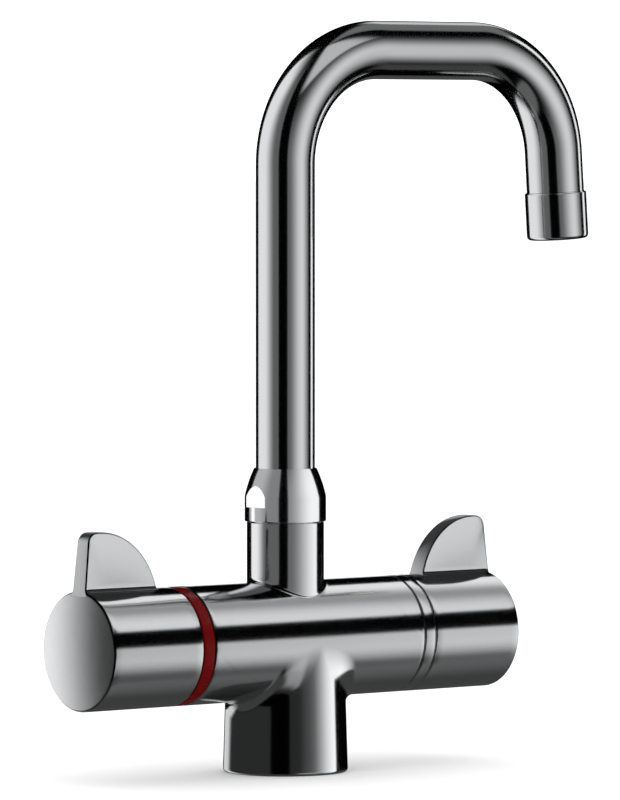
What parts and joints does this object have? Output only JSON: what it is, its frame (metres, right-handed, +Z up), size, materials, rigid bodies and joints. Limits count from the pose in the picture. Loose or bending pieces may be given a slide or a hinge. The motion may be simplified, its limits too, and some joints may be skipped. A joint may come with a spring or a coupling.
{
  "type": "thermostatic basin mixer tap",
  "caption": "Thermostatic basin mixer tap with a horizontal barrel, finned temperature and flow handles, red ring and a tall swivelling U-shaped spout.",
  "frame": {"origin": "middle of the foot's underside, at the mouth of the fixing stud's hole", "axes": "+X along the barrel towards the flow handle and the spout's outlet, -Y towards the user, +Z up"},
  "size_m": [0.2416, 0.0466, 0.2797],
  "materials": {
    "polished_chrome": "polished chrome plate on brass",
    "red_plastic": "glossy dark red moulded plastic",
    "bare_brass": "machined brass",
    "black_rubber": "black nitrile rubber",
    "white_plastic": "moulded acetal plastic",
    "stainless_steel": "stainless steel",
    "copper_capsule": "drawn copper alloy",
    "alumina_ceramic": "lapped alumina ceramic"
  },
  "bodies": {
    "root": {"body_casting": "polished_chrome", "base_seal": "black_rubber", "hot_check_valve": "white_plastic", "cold_check_valve": "white_plastic", "hot_inlet_filter": "white_plastic", "cold_inlet_filter": "white_plastic", "cartridge_sleeve": "bare_brass", "cartridge_o_rings": "black_rubber", "hot_strainer": "stainless_steel", "cold_strainer": "stainless_steel", "cartridge_cap": "bare_brass", "cap_o_ring": "black_rubber", "red_stop_ring": "red_plastic", "chrome_cover_ring": "polished_chrome", "headwork_body": "bare_brass", "headwork_o_ring": "black_rubber", "fixed_ceramic_disc": "alumina_ceramic", "headwork_seal": "black_rubber", "collar_nut": "polished_chrome", "spout_slip_ring": "white_plastic", "return_spring": "stainless_steel"},
    "temperature": {"temperature_handle": "polished_chrome", "temperature_spline_insert": "bare_brass", "temperature_grub_screw": "stainless_steel", "temperature_spindle": "bare_brass", "temperature_spindle_o_ring": "black_rubber", "temperature_spindle_clip": "stainless_steel"},
    "thermostat_slide": {"drive_nut": "bare_brass", "overload_cup": "white_plastic", "overload_spring": "stainless_steel", "wax_element": "copper_capsule", "mixing_shuttle": "white_plastic", "shuttle_o_ring": "black_rubber"},
    "flow": {"flow_handle": "polished_chrome", "flow_spline_insert": "bare_brass", "flow_grub_screw": "stainless_steel", "flow_spindle": "bare_brass", "flow_spindle_o_ring": "black_rubber", "flow_spindle_clip": "stainless_steel", "moving_ceramic_disc": "alumina_ceramic"},
    "spout": {"spout_tube": "polished_chrome", "spout_spigot": "bare_brass", "spigot_o_rings": "black_rubber", "spout_retaining_ring": "stainless_steel", "outlet_bush": "bare_brass", "outlet_housing": "polished_chrome", "flow_straightener": "white_plastic", "outlet_seal": "black_rubber"}
  },
  "joints": [
    {"name": "spout_swivel", "type": "hinge", "parent": "root", "child": "spout", "pos_m": [0, 0, 0.103], "axis": [0, 0, 1], "continuous": true},
    {"name": "temperature_turn", "type": "hinge", "parent": "root", "child": "temperature", "pos_m": [0, 0, 0.049], "axis": [1, 0, 0], "range_deg": [-45, 45]},
    {"name": "flow_turn", "type": "hinge", "parent": "root", "child": "flow", "pos_m": [0, 0, 0.049], "axis": [1, 0, 0], "range_deg": [0, 90]},
    {"name": "thermostat_slide", "type": "slide", "parent": "root", "child": "thermostat_slide", "axis": [1, 0, 0], "range_m": [-0.001, 0.001], "deforming": ["return_spring"]}
  ],
  "couplings": [
    {"joint": "thermostat_slide", "follows": "temperature_turn", "m_per_rad": 0.0012732}
  ]
}
